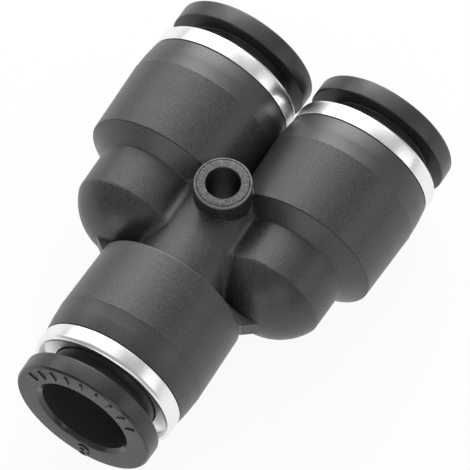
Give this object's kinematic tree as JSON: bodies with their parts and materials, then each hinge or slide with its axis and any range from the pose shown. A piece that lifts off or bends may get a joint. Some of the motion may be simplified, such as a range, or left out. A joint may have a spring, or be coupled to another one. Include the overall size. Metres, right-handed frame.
{
  "type": "tubing y connector",
  "caption": "Push-in Y connector that splits one tube into parallel branches, with metal guide rings, release collars and a fixing eyelet in the crotch.",
  "frame": {"origin": "centre of the fixing eyelet, on the mid-plane of the Y", "axes": "+Y towards the two parallel branch ports, +X towards the right-hand branch, +Z along the eyelet, out of the plane of the Y"},
  "size_m": [0.0278, 0.0375, 0.014],
  "materials": {
    "moulded_body": "fine-grained satin black",
    "plated_ring": "turned, nickel plated",
    "collar_plastic": "satin black",
    "spring_steel": "stamped stainless spring steel",
    "inner_plastic": "natural acetal",
    "seal_rubber": "nitrile rubber"
  },
  "bodies": {
    "body": {"body": "moulded_body", "stem_guide_ring": "plated_ring", "left_guide_ring": "plated_ring", "right_guide_ring": "plated_ring", "stem_back_ring": "inner_plastic", "left_back_ring": "inner_plastic", "right_back_ring": "inner_plastic", "stem_seal_ring": "seal_rubber", "left_seal_ring": "seal_rubber", "right_seal_ring": "seal_rubber"},
    "stem_claw": {"stem_lock_claw": "spring_steel"},
    "left_claw": {"left_lock_claw": "spring_steel"},
    "right_claw": {"right_lock_claw": "spring_steel"},
    "stem_collar": {"stem_release_collar": "collar_plastic"},
    "left_collar": {"left_release_collar": "collar_plastic"},
    "right_collar": {"right_release_collar": "collar_plastic"}
  },
  "joints": [
    {"name": "stem_collar_turn", "type": "hinge", "parent": "body", "child": "stem_claw", "pos_m": [0, -0.0175, 0], "axis": [0, -1, 0], "continuous": true},
    {"name": "left_collar_turn", "type": "hinge", "parent": "body", "child": "left_claw", "pos_m": [-0.0069, 0.0102, 0], "axis": [0, 1, 0], "continuous": true},
    {"name": "right_collar_turn", "type": "hinge", "parent": "body", "child": "right_claw", "pos_m": [0.0069, 0.0102, 0], "axis": [0, 1, 0], "continuous": true},
    {"name": "stem_collar_press", "type": "slide", "parent": "stem_claw", "child": "stem_collar", "axis": [0, 1, 0], "range_m": [0, 0.00135], "stiffness_N_per_m": 400, "springref_m": -0.0005},
    {"name": "left_collar_press", "type": "slide", "parent": "left_claw", "child": "left_collar", "axis": [0, -1, 0], "range_m": [0, 0.00135], "stiffness_N_per_m": 400, "springref_m": -0.0005},
    {"name": "right_collar_press", "type": "slide", "parent": "right_claw", "child": "right_collar", "axis": [0, -1, 0], "range_m": [0, 0.00135], "stiffness_N_per_m": 400, "springref_m": -0.0005}
  ]
}
